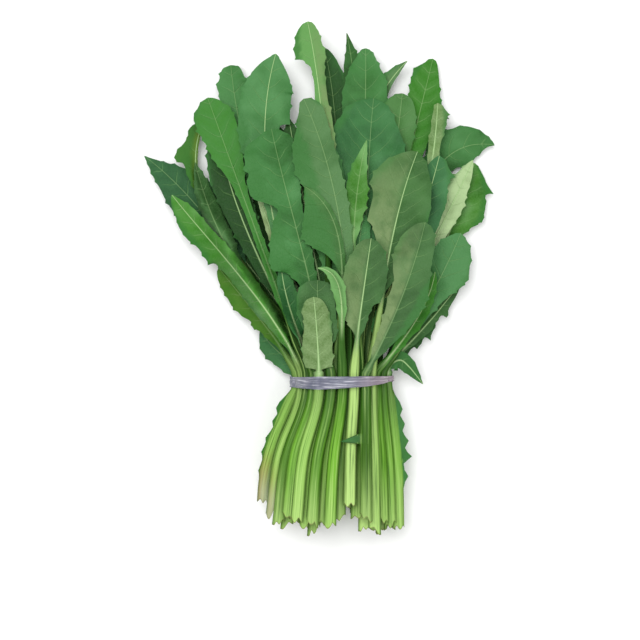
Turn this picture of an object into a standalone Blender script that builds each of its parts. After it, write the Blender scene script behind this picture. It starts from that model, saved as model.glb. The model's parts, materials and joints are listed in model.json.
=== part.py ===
"""A tied bunch of catalogna chicory, lying on a surface.

The bunch lies along Y: cut ends towards -Y, leaf tips towards +Y, the surface at z = 0.
The origin is on the surface, under the tie. Lengths here are millimetres.
"""
import math
import random
from collections import namedtuple

import bpy
import numpy as np
from mathutils.geometry import convex_hull_2d

MM = 0.001

# Stalks, packed in rows inside the tie
ROW_COUNTS = (4, 7, 8, 9, 8, 7, 6, 5)
STALK_PITCH_X = 9.0
STALK_PITCH_Z = 7.0
STALK_HALF_WIDTH = 4.15
STALK_HALF_HEIGHT = 3.9
CUT_END_HALF_WIDTH = 4.9
CUT_END_HALF_HEIGHT = 4.1
STALK_EDGE = 0.3
STALK_SHOULDER = 0.75
STALK_SHOULDER_AT = 0.68
STALK_TAPER = 0.5

# Skirt of cut stalks below the tie: how far down the cut ends lie, by their place across
SKIRT_END_X = (-68.0, -52.0, -25.0, -8.0, 4.0, 12.0, 24.0, 50.0)
SKIRT_END_Y = (-88.0, -106.0, -115.0, -104.0, -98.0, -106.0, -114.0, -119.0)
SKIRT_JITTER_X = 1.0
SKIRT_JITTER_Y = 6.0
SKIRT_JITTER_Z = 0.4
SKIRT_SPREAD_X = 1.5
SKIRT_SPREAD_Z = 1.2
SKIRT_SHIFT_X = -9.0
SKIRT_STRAIGHT = 0.4

# Tie strip
TIE_X = (-38.0, 0.0, 38.0)
TIE_WIDTHS = (8.0, 11.5, 4.0)
TIE_MIDDLES = (-0.3, 0.5, 2.5)
TIE_UNDER_WIDTH = 10.0
TIE_THICKNESS = 0.8
TIE_GAP = 0.4
TIE_CORNER_TURN = 14.0
TIE_ABOVE = 8.0
TIE_BELOW = 6.0

# Blades
BLADE_HALF_THICKNESS = 0.6
EDGE_HALF_THICKNESS = 0.5
LEAST_RIB = 0.65
RIB_TOP = 0.9
RIB_BOTTOM = 1.6
RIB_LOSS = 0.7
TIP_HALF_WIDTH = 1.2
TIP_RIB = 0.2
TIP_CROWDING = 1.3
WING_SHARE = 0.42
WING_START = 0.12
LEAST_WING = 0.4
BITE_RANGE = (0.6, 1.4)
TOOTH_SWEEP = 2.5
BLADE_FOOT = 8.0
LEAST_REACH = 60.0

# Waves along the edges of a blade, and how much of them reaches half way in
RIPPLE = 1.6
RIPPLE_TURN = 1.9
RIPPLE_SIDE_TURN = 2.0
RIPPLE_JITTER = 1.5
RIPPLE_FULL_WIDTH = 12.0
RIPPLE_INSIDE = 0.4

# Heap of leaves above the tie: height of the heap along Y, and the gap kept between leaves
HEAP_Y = (0.0, 60.0, 110.0, 170.0, 230.0, 290.0)
HEAP_HEIGHT = (56.0, 66.0, 64.0, 54.0, 42.0, 30.0)
HEAP_MIDDLE_X = (0.0, -2.0, -6.0, -14.0, -10.0, -5.0)
HEAP_HALF_WIDTH = (44.0, 78.0, 115.0, 145.0, 105.0, 70.0)
HEAP_EDGE_DROP = 0.6
HEAP_BLEND = 70.0
DROOP = 3.0
LEAF_GAP = 0.5

# Grid on which the leaves are laid over each other
CELL = 0.6
GRID_MIN = (-175.0, -135.0)
GRID_MAX = (145.0, 305.0)
FOOTPRINT_MARGIN = 0.35
LIFT_ROUNDS = 80
LEAST_GRIP = 0.15
STIFFNESS_ALONG = 0.46
STIFFNESS_ACROSS = 0.42

SEED = 11

COLOURS = {
    "green": (0.045, 0.22, 0.07),
    "grey": (0.12, 0.27, 0.12),
    "bright": (0.10, 0.32, 0.04),
    "pale": (0.33, 0.48, 0.18),
    "dark": (0.012, 0.09, 0.03),
    "blue": (0.03, 0.17, 0.10),
    "olive": (0.16, 0.25, 0.05),
}
STALK_COLOUR = (0.28, 0.48, 0.12)
TIE_COLOUR = (0.35, 0.30, 0.45)
BLADE_ROUGHNESS = 0.5
STALK_ROUGHNESS = 0.45
TIE_ROUGHNESS = 0.35

# A plain blade: half widths left and right of the rib, where along the leaf the blade starts
# and where along the blade it is widest, how pointed it is (1 is pointed, 0.4 is round),
# teeth on each side and how deep they bite.
Plain = namedtuple("Plain", "left right start widest point teeth bite")

# One leaf: its slot in the tie, where its tip lies, which way it leaves the tie and which way
# its tip points (degrees from +Y, towards +X), how much its sides turn up, how far its tip is
# raised, its colour, and its blade. The blade is a plain one, or rows of its own outline:
# distance below the tip, then the half widths left and right of the rib.
Leaf = namedtuple("Leaf", "row slot tip out lean cup rise tone blade")

LEAVES = (
    # Row 0 lies on the surface
    Leaf(0, 0, (-62, 152), -16, -24, 0.00, 0, "dark", Plain(15, 15, 0.12, 0.55, 0.8, 3, 0.1)),
    Leaf(0, 1, (-18, 186), -5, -8, 0.00, 0, "green", Plain(17, 17, 0.31, 0.62, 0.8, 3, 0.2)),
    Leaf(0, 2, (62, 150), 14, 20, 0.00, 0, "dark", Plain(16, 16, 0.15, 0.55, 0.8, 3, 0.1)),
    Leaf(0, 3, (122, 188), 26, 102, 0.00, 5, "green",
         ((5, 5, 2), (9, 11, 6), (12, 12, 9), (20, 16, 13), (32, 20, 14), (42, 19, 11),
          (56, 11, 8), (80, 6, 6))),
    # Row 1
    Leaf(1, 0, (-65, 40), -62, -34, 0.05, 0, "blue",
         ((3, 3, 3), (8, 7, 6), (16, 9.5, 8), (26, 9.5, 8), (36, 10, 7), (43, 8.5, 6))),
    Leaf(1, 1, (-104, 132), -24, -34, 0.05, 0, "dark", Plain(14, 15, 0.12, 0.50, 0.7, 4, 0.1)),
    Leaf(1, 2, (-72, 186), -16, -18, 0.05, 0, "dark", Plain(15, 16, 0.15, 0.52, 0.7, 4, 0.1)),
    Leaf(1, 3, (2, 208), -3, 4, 0.05, 0, "dark", Plain(18, 18, 0.33, 0.62, 0.8, 3, 0.2)),
    Leaf(1, 4, (58, 200), 12, 16, 0.05, 0, "dark", Plain(17, 17, 0.15, 0.52, 0.7, 4, 0.1)),
    Leaf(1, 5, (106, 174), 36, 14, 0.05, 0, "bright",
         ((3, 2, 5), (8, 6, 10), (17, 11, 21.5), (22, 13, 16), (31, 14, 19.5), (40, 14, 20.5),
          (46, 13, 16), (58, 10, 10), (76, 6, 6))),
    Leaf(1, 6, (74, 50), 40, 37, 0.00, 4, "dark",
         ((5, 4, 5), (12, 7, 9), (16, 8, 5), (24, 8, 8.5), (28, 8, 5), (37, 7, 10), (43, 6, 6))),
    # Row 2
    Leaf(2, 0, (-157, 179), -30, -53, 0.03, 6, "blue",
         ((4, 2.5, 1.5), (9, 5, 3.5), (16, 8.5, 6.5), (27, 12, 12.5), (36, 15, 17), (50, 17, 20),
          (70, 17, 20), (92, 12, 14), (115, 6, 6))),
    Leaf(2, 1, (-111, 204), -26, 22, 0.05, 6, "olive",
         ((3, 7, 1.5), (7, 9, 1.5), (13, 8, 1.5), (19, 12, 1.5), (25, 17, 1.5), (28, 15, 1.5),
          (32, 8, 1.5), (38, 8, 2), (50, 5, 4))),
    Leaf(2, 2, (-52, 205), -12, -12, 0.05, 0, "dark", Plain(16, 16, 0.15, 0.52, 0.7, 4, 0.1)),
    Leaf(2, 3, (-14, 265), -5, -14, 0.05, 0, "dark",
         ((4, 3, 4), (12, 6, 8), (22, 8, 12), (36, 9, 12), (52, 9, 12), (75, 7, 8),
          (100, 5, 5))),
    Leaf(2, 4, (52, 254), 5, 46, 0.05, 4, "grey",
         ((5, 2.5, 1), (10, 4.5, 2), (20, 7, 3), (34, 10, 5), (55, 8, 8), (80, 6, 6))),
    Leaf(2, 5, (73, 257), 12, 14, 0.10, 2, "bright",
         ((2, 4, 3.5), (7, 10, 6), (11, 13, 7.5), (22, 13, 11), (31, 12, 13.5), (38, 11, 18),
          (42, 11, 23), (45, 12, 17), (60, 14, 13), (80, 12, 10), (105, 6, 6))),
    Leaf(2, 6, (104, 175), 24, 24, 0.20, 4, "pale",
         ((4, 3, 2), (13, 7, 5), (20, 10, 6), (27, 15, 7), (33, 9, 8), (42, 13, 9), (52, 8, 8),
          (70, 6, 6))),
    Leaf(2, 7, (95, 79), 46, 35, 0.05, 0, "grey",
         ((4, 3, 2), (12, 6, 4), (20, 8, 5), (27, 9, 8), (31, 9, 4), (46, 8, 6), (62, 5, 4))),
    # Row 3, the widest
    Leaf(3, 0, (-98, 90), -30, -38, 0.05, 0, "olive",
         ((3, 4, 4), (9, 7, 8), (18, 9, 10), (28, 11, 11), (40, 10, 11), (50, 7, 10), (54, 9, 9),
          (60, 6, 7), (72, 4, 4))),
    Leaf(3, 1, (-116, 173), -36, -14, 0.10, 2, "grey", Plain(8, 8, 0.35, 0.60, 0.9, 4, 0.1)),
    Leaf(3, 2, (-45, 82), -20, 4, 0.05, 0, "blue", Plain(6, 7, 0.30, 0.60, 0.5, 3, 0.1)),
    Leaf(3, 3, (-88.5, 252), -26, -6, 0.05, 0, "green",
         ((1.5, 6, 6), (4, 8, 8), (8, 9, 9), (13, 12, 11), (16, 13, 12), (22, 12, 13),
          (28, 12, 14), (45, 12, 14), (70, 9, 10), (100, 5, 5))),
    Leaf(3, 4, (4, 276), 0, -12, 0.05, 0, "dark",
         ((6, 1.5, 2), (15, 3.5, 4.5), (26, 7, 7), (42, 9, 9), (65, 8, 8), (95, 5, 5))),
    Leaf(3, 5, (19, 264), 3, 0, 0.05, 0, "green",
         ((2, 4, 4), (6, 6, 7), (12, 11, 10), (20, 14, 16), (32, 18, 17), (48, 18, 18),
          (75, 12, 12), (100, 6, 6))),
    Leaf(3, 6, (48, 228), 6, 6, 0.05, 0, "grey",
         ((1.5, 6, 5), (5, 11, 9), (13, 13, 12), (22, 12, 13), (40, 12, 12), (70, 7, 7))),
    Leaf(3, 7, (76, 220), 16, 2, 0.20, 3, "pale",
         ((1.5, 3, 4), (5, 3, 9), (12, 4, 8), (20, 4, 7), (30, 5, 5), (46, 4, 4))),
    Leaf(3, 8, (64, -2), 20, 142, 0.00, 4, "green",
         ((4, 1.5, 2), (10, 3.5, 4), (18, 6, 6), (26, 7, 9), (36, 4, 7))),
    # Row 4
    Leaf(4, 1, (-98, 203), -24, -6, 0.05, 0, "dark",
         ((3, 4, 4), (8, 7.5, 6), (16, 10.5, 8), (26, 13, 10), (42, 15, 12), (58, 13, 13),
          (78, 11, 12), (104, 8, 8), (134, 5, 5))),
    Leaf(4, 2, (-66, 150), -14, -16, 0.10, 2, "pale", Plain(3.5, 3.5, 0.35, 0.6, 0.8, 3, 0.1)),
    Leaf(4, 3, (-42, 208), -10, -10, 0.05, 0, "dark", Plain(15, 16, 0.15, 0.52, 0.8, 4, 0.1)),
    Leaf(4, 4, (6, 215), 2, 2, 0.05, 0, "dark", Plain(14, 14, 0.15, 0.52, 0.8, 4, 0.1)),
    Leaf(4, 0, (-134, 147), -22, -38, 0.05, 4, "bright",
         ((4, 4, 2), (12, 8, 5), (22, 12, 7), (34, 13, 7), (46, 11, 7), (58, 13, 8), (64, 9, 8),
          (80, 8, 8), (98, 9, 7), (116, 9, 6), (132, 6, 5), (146, 4, 4))),
    Leaf(4, 7, (94, 117), 36, 22, 0.05, 0, "green",
         ((3, 5, 6), (8, 10, 11), (16, 14, 16), (28, 16, 21), (37, 15, 18), (50, 12, 12),
          (66, 8, 8), (84, 5, 5))),
    Leaf(4, 6, (77, 178), 21, 15, 0.05, 0, "blue",
         ((4, 4, 7), (11, 8, 16), (18, 10, 12), (32, 13, 15), (50, 14, 14), (80, 11, 10),
          (110, 6, 6))),
    Leaf(4, 5, (25, 223), 4, 6, 0.05, 0, "blue",
         ((1.5, 8, 6), (5, 15, 11), (12, 23, 16), (22, 29, 21), (34, 30, 27), (48, 30, 31),
          (70, 25, 27), (95, 15, 16), (120, 6, 6))),
    # Row 5
    Leaf(5, 0, (-106, 224), -20, -20, 0.08, 4, "green",
         ((1.5, 7, 4), (6, 13.5, 9), (12, 16.5, 14), (22, 16, 15), (34, 14, 14), (48, 12, 12),
          (62, 8, 8), (76, 5, 5), (100, 3.5, 3.5), (135, 3.5, 3.5), (170, 4, 4))),
    Leaf(5, 1, (-52, 258), -20, 16, 0.04, 2, "green",
         ((3, 3.5, 4), (9, 9, 9.5), (18, 15, 16), (27, 20, 20.5), (31, 20.5, 19), (44, 21, 19),
          (54, 21, 20), (58, 21, 11), (75, 18, 12), (100, 9, 8), (130, 4, 4), (165, 3.5, 3.5),
          (200, 4, 4))),
    Leaf(5, 3, (-10, 190), -4, -6, 0.05, 0, "green", Plain(13, 13, 0.2, 0.50, 0.8, 3, 0.2)),
    Leaf(5, 2, (-27, 283), -2, -12, 0.05, 6, "bright",
         ((2, 5.5, 4), (8, 11, 7), (17, 15, 7.5), (26, 14.5, 9), (31, 8, 8.5), (36, 4, 7),
          (46, 3, 6), (62, 4, 6), (78, 7, 8), (98, 9, 9), (120, 7, 7), (160, 6, 6))),
    Leaf(5, 4, (17, 131), 2, 12, 0.05, 0, "blue",
         ((2, 3, 3), (8, 7, 6), (18, 9, 8), (26, 9, 8), (33, 6, 6), (46, 4, 4))),
    Leaf(5, 6, (73, 86), 40, 8, 0.12, 2, "bright",
         ((4, 2, 2), (12, 4, 4), (22, 5, 5), (34, 7.5, 6), (44, 8, 6), (54, 4, 4),
          (66, 3.5, 3.5))),
    Leaf(5, 5, (41, 67), 26, 12, 0.20, 2, "dark", Plain(11, 8, 0.20, 0.66, 0.6, 4, 0.1)),
    # Row 6
    Leaf(6, 0, (-47, 88), -20, -6, 0.05, 0, "blue",
         ((2, 3, 3), (8, 5, 6), (20, 5, 8), (35, 5, 8), (48, 4, 6))),
    Leaf(6, 4, (19, 188), -6, 14, 0.12, 3, "bright",
         ((4, 1.5, 1.5), (12, 4, 3), (22, 7, 5), (36, 9, 8), (50, 10, 8), (60, 8, 6),
          (72, 4, 4))),
    Leaf(6, 5, (59, 180), 8, 22, 0.05, 0, "grey",
         ((2, 6, 5), (7, 14, 10), (14, 20, 15), (24, 26, 20), (33, 28, 22), (38, 24, 23),
          (46, 22, 24), (60, 22, 22), (67, 16, 19), (84, 9, 12), (106, 5, 6))),
    Leaf(6, 1, (-55, 197), -5, -12, 0.05, 0, "green",
         ((2.2, 8, 6.5), (5, 19, 12), (10, 24, 14), (18, 25, 14), (26, 27, 13), (30, 25, 13),
          (36, 28, 12), (44, 28, 12), (50, 24, 11), (56, 17, 10), (62, 10, 9), (72, 16, 8),
          (86, 23, 7), (98, 27, 7), (106, 25, 7), (113, 15, 6), (124, 8, 6), (145, 4, 4))),
    Leaf(6, 3, (-30, 221), 2, -24, 0.05, 2, "grey",
         ((1.5, 4, 6), (6, 6.5, 10), (12, 12, 11), (18, 13, 11), (28, 19, 10), (40, 24, 9),
          (55, 26, 9), (67, 22, 9), (82, 15, 9), (102, 9, 8), (125, 7, 7), (160, 5, 5))),
    Leaf(6, 2, (-29, 151), 2, -60, 0.05, 2, "grey",
         ((3, 5, 1.5), (8, 10, 2), (14, 16, 2.5), (25, 24, 3), (36, 28, 3), (45, 25, 3),
          (54, 18, 3), (62, 10, 3), (72, 4, 3))),
    # Row 7, the front of the bunch
    Leaf(7, 1, (-19, 79), -10, 4, 0.05, 0, "grey",
         ((1.5, 8, 8), (5, 13, 11), (12, 16, 13), (22, 17, 13), (35, 14, 12), (48, 9, 9))),
    Leaf(7, 3, (22, 111), 4, 8, 0.06, 3, "grey",
         ((1.5, 5, 5), (6, 10, 10), (14, 13, 14), (22, 16, 16), (35, 18, 16), (45, 14, 14),
          (53, 12, 8), (62, 12, 6), (69, 7, 5))),
    Leaf(7, 2, (-19, 88), -8, -88, 0.05, 0, "bright",
         ((4, 1.5, 1.5), (12, 4, 3.5), (20, 6, 5), (30, 5, 4), (42, 3.5, 3.5))),
    Leaf(7, 4, (64, 124), 30, 13, 0.06, 3, "grey",
         ((2, 5, 5), (7, 10, 9), (14, 15, 11), (24, 18, 12.5), (31, 17, 13), (42, 14, 16),
          (53, 10, 19), (62, 10, 18), (76, 8, 15), (94, 6, 9), (108, 4, 4))),
    Leaf(7, 0, (-22, 66), -2, -6, 0.04, 2, "pale",
         ((1.2, 5, 4), (4, 8, 7), (9, 10.5, 9.5), (18, 9, 11), (27, 10, 11.5), (38, 12, 11),
          (47, 11.5, 11), (54, 10, 10))),
)

# Fringes of blade left on stalks below the tie: leaf number, side, and rows of distance
# below the tie and reach
Fringe = namedtuple("Fringe", "leaf side rows")
FRINGES = (
    Fringe(53, -1, ((33.5, 0), (38, 16), (42.5, 0))),
    Fringe(20, -1, ((8, 5.5), (13, 6), (18, 3), (24, 4.5), (30, 1.5), (38, 4.5), (44, 2), (52, 2.5),
                    (60, 0.5), (68, 1.5), (76, 0))),
    Fringe(28, 1, ((8, 4.5), (14, 6), (19, 3.5), (26, 6.5), (32, 4), (40, 8), (46, 4.5), (54, 9),
                   (60, 2), (70, 3), (82, 0.5))),
)


def smooth_step(t):
    t = min(max(t, 0.0), 1.0)
    return t * t * (3.0 - 2.0 * t)


def heading(degrees):
    """Unit vector in plan, measured from +Y towards +X."""
    angle = math.radians(degrees)
    return np.array((math.sin(angle), math.cos(angle)))


def lowest_stalk():
    """Height of the lowest stalks' centres inside the tie."""
    return TIE_THICKNESS + TIE_GAP + STALK_HALF_HEIGHT


def slot_place(leaf):
    """Centre of a stalk inside the tie: x and z."""
    middle = (ROW_COUNTS[leaf.row] - 1) / 2
    return (leaf.slot - middle) * STALK_PITCH_X, lowest_stalk() + leaf.row * STALK_PITCH_Z


def leaf_curve(leaf, steps=60):
    """The midrib in plan above the tie, as points at even steps of a Hermite curve."""
    x0, _ = slot_place(leaf)
    start = np.array((x0, TIE_ABOVE))
    tip = np.array(leaf.tip, dtype=float)
    reach = max(np.linalg.norm(tip - start), LEAST_REACH)
    points = []
    for t in np.linspace(0.0, 1.0, steps):
        points.append(start * (2 * t**3 - 3 * t**2 + 1)
                      + heading(leaf.out) * reach * (t**3 - 2 * t**2 + t)
                      + tip * (3 * t**2 - 2 * t**3)
                      + heading(leaf.lean) * reach * (t**3 - t**2))
    return np.array(points)


def along(points, fraction):
    """Point and direction at a fraction of a curve's length."""
    steps = np.linalg.norm(np.diff(points, axis=0), axis=1)
    run = np.concatenate(((0.0,), np.cumsum(steps)))
    target = fraction * run[-1]
    place = np.array([np.interp(target, run, points[:, axis]) for axis in (0, 1)])
    index = min(max(int(np.searchsorted(run, target)), 1), len(points) - 1)
    direction = points[index] - points[index - 1]
    return place, direction / np.linalg.norm(direction)


def curve_length(points):
    return float(np.linalg.norm(np.diff(points, axis=0), axis=1).sum())


def profile(blade, u):
    """Share of its full half width that a plain blade has, from its start (0) to its tip (1)."""
    rise = blade.point * blade.widest / (1.0 - blade.widest)
    peak = blade.widest**rise * (1.0 - blade.widest)**blade.point
    wing = WING_SHARE * min(u / WING_START, 1.0) * (1.0 - u)
    return max(u**rise * (1.0 - u)**blade.point / peak, wing)


def plain_rows(blade, length, rng):
    """Outline rows of a plain blade, one for each tooth and notch, from its start."""
    count = 2 * blade.teeth
    phase = rng.choice((0, 1))
    rows = []
    for step in range(1, count):
        u = 1.0 - (1.0 - step / count)**TIP_CROWDING
        sides = []
        for side, half in enumerate((blade.left, blade.right)):
            tooth = 1.0 if (step + phase + side) % 2 else -1.0
            bite = 1.0 + 0.5 * blade.bite * rng.uniform(*BITE_RANGE) * tooth
            sides.append(half * profile(blade, u) * bite + LEAST_WING)
        rows.append(((1.0 - u) * (1.0 - blade.start) * length, *sides))
    return rows


def outline_rows(leaf, length, rng):
    """Outline rows of a leaf from the start of its blade, and where along it that start is."""
    if isinstance(leaf.blade, Plain):
        return plain_rows(leaf.blade, length, rng), leaf.blade.start
    rows = sorted(leaf.blade, reverse=True)
    foot = min(BLADE_FOOT, 0.5 * (length - rows[0][0]))
    return rows, 1.0 - (rows[0][0] + foot) / length


class Ring:
    """One cross section of a leaf: five columns from its left edge to its right edge."""

    def __init__(self, place, direction, z):
        self.place = place
        self.direction = direction
        self.z = z
        self.offsets = [0.0] * 5
        self.sweeps = [0.0] * 5
        self.lifts = [0.0] * 5
        self.top = [0.0] * 5
        self.bottom = [0.0] * 5
        self.pinned = False
        self.blade = False

    def as_stalk(self, half_width, half_height):
        edge, shoulder = STALK_EDGE * half_height, STALK_SHOULDER * half_height
        inner = STALK_SHOULDER_AT * half_width
        self.offsets = [-half_width, -inner, 0.0, inner, half_width]
        self.top = [edge, shoulder, half_height, shoulder, edge]
        self.bottom = list(self.top)

    def as_blade(self, left, right, rib):
        thin, edge = BLADE_HALF_THICKNESS, EDGE_HALF_THICKNESS
        self.blade = True
        self.offsets = [-left, -left / 2, 0.0, right / 2, right]
        self.top = [edge, thin, max(RIB_TOP * rib, LEAST_RIB), thin, edge]
        self.bottom = [edge, thin, max(RIB_BOTTOM * rib, LEAST_RIB), thin, edge]

    def columns(self):
        """Plan positions of the five columns."""
        side = np.array((self.direction[1], -self.direction[0]))
        return [self.place + side * offset + self.direction * sweep
                for offset, sweep in zip(self.offsets, self.sweeps)]


def skirt_rings(number, leaf, rng):
    """Rings of the stalk from its cut end up to the tie."""
    x0, z0 = slot_place(leaf)
    x_end = SKIRT_SHIFT_X + x0 * SKIRT_SPREAD_X + rng.uniform(-SKIRT_JITTER_X, SKIRT_JITTER_X)
    y_end = (np.interp(x_end, SKIRT_END_X, SKIRT_END_Y)
             + rng.uniform(-SKIRT_JITTER_Y, SKIRT_JITTER_Y))
    z_end = CUT_END_HALF_HEIGHT + leaf.row * STALK_PITCH_Z * SKIRT_SPREAD_Z
    if leaf.row > 0:
        z_end += rng.uniform(-SKIRT_JITTER_Z, SKIRT_JITTER_Z)
    reaches = {}
    for fringe in FRINGES:
        if fringe.leaf == number:
            reaches = {below / -y_end: fringe.side * reach for below, reach in fringe.rows}
    rings = []
    for fraction in sorted({1.0, *(reaches or (0.5,))}, reverse=True):
        spread = math.sin(fraction * math.pi / 2)
        place = np.array((x0 + (x_end - x0) * spread,
                          -TIE_BELOW + (y_end + TIE_BELOW) * fraction))
        bent = fraction > SKIRT_STRAIGHT
        ahead = np.array((x0 - x_end, -y_end)) if bent else np.array((0.0, 1.0))
        ring = Ring(place, ahead / np.linalg.norm(ahead), z0 + (z_end - z0) * fraction)
        ring.as_stalk(STALK_HALF_WIDTH + (CUT_END_HALF_WIDTH - STALK_HALF_WIDTH) * fraction,
                      STALK_HALF_HEIGHT + (CUT_END_HALF_HEIGHT - STALK_HALF_HEIGHT) * fraction)
        if reaches.get(fraction):
            draw_out(ring, reaches[fraction])
        rings.append(ring)
    return rings


def draw_out(ring, reach):
    """Draw one edge of a stalk's ring out into a thin fringe."""
    column = 0 if reach < 0.0 else 4
    ring.offsets[column] += reach
    ring.top[column] = EDGE_HALF_THICKNESS
    ring.bottom[column] = EDGE_HALF_THICKNESS
    ring.sweeps[column] = -min(TOOTH_SWEEP, abs(reach))


def blade_rings(leaf, rng):
    """Rings above the tie: the free stalk, then a ring for each row of the outline."""
    curve = leaf_curve(leaf)
    length = curve_length(curve)
    _, z0 = slot_place(leaf)
    rows, start = outline_rows(leaf, length, rng)
    rings = []
    for share in (0.5, 1.0):
        ring = Ring(*along(curve, start * share), z0)
        thin = 1.0 - STALK_TAPER * share
        ring.as_stalk(STALK_HALF_WIDTH * thin, STALK_HALF_HEIGHT * thin)
        rings.append(ring)
    for step, (below, left, right) in enumerate(rows):
        ring = Ring(*along(curve, 1.0 - below / length), z0)
        ring.as_blade(left, right, 1.0 - RIB_LOSS * (1.0 - below / rows[0][0]))
        near = (rows[max(step - 1, 0)], rows[min(step + 1, len(rows) - 1)])
        for side, half in enumerate((left, right)):
            bulge = half - 0.5 * (near[0][1 + side] + near[1][1 + side])
            ring.sweeps[4 * side] = -min(max(bulge, 0.0), TOOTH_SWEEP)
            wave = RIPPLE * math.sin(step * RIPPLE_TURN + side * RIPPLE_SIDE_TURN
                                     + rng.uniform(0.0, RIPPLE_JITTER))
            lift = leaf.cup * half + wave * min(half / RIPPLE_FULL_WIDTH, 1.0)
            ring.lifts[4 * side] = lift
            ring.lifts[1 + 2 * side] = RIPPLE_INSIDE * lift
        rings.append(ring)
    tip = Ring(*along(curve, 1.0), z0)
    tip.as_blade(TIP_HALF_WIDTH, TIP_HALF_WIDTH, TIP_RIB)
    return rings + [tip]


def heap_height(leaf, order, place):
    """Height that a leaf is laid at, by its place in the heap."""
    y = place[1]
    height = np.interp(y, HEAP_Y, HEAP_HEIGHT)
    middle = np.interp(y, HEAP_Y, HEAP_MIDDLE_X)
    half = np.interp(y, HEAP_Y, HEAP_HALF_WIDTH)
    off = min(abs(place[0] - middle) / half, 1.0)
    layer = (leaf.row + order) / len(ROW_COUNTS)
    return BLADE_HALF_THICKNESS + layer * height * (1.0 - HEAP_EDGE_DROP * off * off)


def leaf_rings(number, leaf, order):
    rng = random.Random(SEED * 1000 + number)
    x0, z0 = slot_place(leaf)
    rings = skirt_rings(number, leaf, rng)
    for y in (-TIE_BELOW, TIE_ABOVE):
        ring = Ring(np.array((x0, y)), heading(0.0), z0)
        ring.as_stalk(STALK_HALF_WIDTH, STALK_HALF_HEIGHT)
        ring.pinned = True
        rings.append(ring)
    droop = rng.uniform(-DROOP, DROOP)
    blade = blade_rings(leaf, rng)
    run = 0.0
    last = rings[-1].place
    for position, ring in enumerate(blade):
        run += np.linalg.norm(ring.place - last)
        last = ring.place
        share = smooth_step(run / HEAP_BLEND)
        end = (position / (len(blade) - 1))**2
        ring.z = (z0 * (1.0 - share) + heap_height(leaf, order, ring.place) * share
                  + (leaf.rise + droop * share) * end)
    return rings + blade


class Sheet:
    """A leaf as a strip of rings and columns, with heights that can be lifted."""

    def __init__(self, rings):
        self.rings = rings
        self.plan = np.array([ring.columns() for ring in rings])
        self.height = np.array([[ring.z + lift for lift in ring.lifts] for ring in rings])
        self.top = np.array([ring.top for ring in rings])
        self.bottom = np.array([ring.bottom for ring in rings])
        self.pinned = np.array([[ring.pinned] * 5 for ring in rings])
        self.triangles = self.strip_triangles()
        self.sample()

    def strip_triangles(self):
        """Two triangles for each cell of the strip, the same on both faces."""
        triangles = []
        for r in range(len(self.rings) - 1):
            for c in range(4):
                a, b = r * 5 + c, r * 5 + c + 1
                d, e = a + 5, b + 5
                if (r + c) % 2:
                    triangles += [(a, b, e), (a, e, d)]
                else:
                    triangles += [(a, b, d), (b, e, d)]
        return np.array(triangles)

    def sample(self):
        """Grid cells that the strip covers, with each cell's weights on three points."""
        plan = self.plan.copy()
        for column, sign in ((0, -1.0), (4, 1.0)):
            for r, ring in enumerate(self.rings):
                side = np.array((ring.direction[1], -ring.direction[0]))
                plan[r, column] += side * sign * FOOTPRINT_MARGIN
        plan = plan.reshape(-1, 2)
        cells, corners, weights = [], [], []
        for triangle in self.triangles:
            found, share = cover(plan[triangle])
            cells.append(found)
            weights.append(share)
            corners.append(np.repeat(triangle[None, :], len(found), axis=0))
        self.cells = np.concatenate(cells)
        self.weights = np.concatenate(weights)
        self.corners = np.concatenate(corners)

    def surface(self, heights):
        return (heights.ravel()[self.corners] * self.weights).sum(axis=1)

    def shortfall(self, heap):
        """How far each covered cell still has to rise to clear the heap."""
        return heap.ravel()[self.cells] + LEAF_GAP - self.surface(self.height - self.bottom)

    def lay_on(self, heap):
        """Lift the strip, stiffly along its rib, until it clears the heap."""
        base = self.height.copy()
        lift = np.zeros_like(base)
        free = ~self.pinned
        grip = self.weights * free.ravel()[self.corners]
        able = grip.sum(axis=1) > LEAST_GRIP
        grip = grip / np.maximum((grip * grip).sum(axis=1), LEAST_GRIP**2)[:, None]
        for _ in range(LIFT_ROUNDS):
            self.height = base + lift
            short = self.shortfall(heap) * able
            low = short > 0.0
            if not low.any():
                break
            need = np.zeros(lift.size)
            for corner in range(3):
                np.maximum.at(need, self.corners[low, corner], short[low] * grip[low, corner])
            lift += need.reshape(lift.shape) * free
            spread = lift.copy()
            spread[1:-1] = np.maximum(lift[1:-1],
                                      STIFFNESS_ALONG * (lift[:-2] + lift[2:]))
            across = spread.copy()
            beside = spread[:, :-2] + spread[:, 2:]
            across[:, 1:-1] = np.maximum(spread[:, 1:-1], STIFFNESS_ACROSS * beside)
            lift = across * free
        self.height = base + lift

    def cover_heap(self, heap):
        """Raise the heap to the strip's upper face."""
        np.maximum.at(heap.ravel(), self.cells, self.surface(self.height + self.top))


def grid_shape():
    return tuple(int(round((high - low) / CELL)) for low, high in zip(GRID_MIN, GRID_MAX))


def cover(corners):
    """Cells whose centres lie in a plan triangle, and their weights on its corners."""
    columns = grid_shape()[1]
    low = np.floor((corners.min(axis=0) - GRID_MIN) / CELL).astype(int)
    high = np.ceil((corners.max(axis=0) - GRID_MIN) / CELL).astype(int)
    i, j = np.mgrid[low[0]:high[0] + 1, low[1]:high[1] + 1]
    x = GRID_MIN[0] + (i + 0.5) * CELL
    y = GRID_MIN[1] + (j + 0.5) * CELL
    (ax, ay), (bx, by), (cx, cy) = corners
    area = (bx - ax) * (cy - ay) - (cx - ax) * (by - ay)
    wb = ((x - ax) * (cy - ay) - (cx - ax) * (y - ay)) / area
    wc = ((bx - ax) * (y - ay) - (x - ax) * (by - ay)) / area
    wa = 1.0 - wb - wc
    inside = (wa >= -1e-9) & (wb >= -1e-9) & (wc >= -1e-9)
    return (i * columns + j)[inside], np.stack((wa, wb, wc), axis=-1)[inside]


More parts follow.
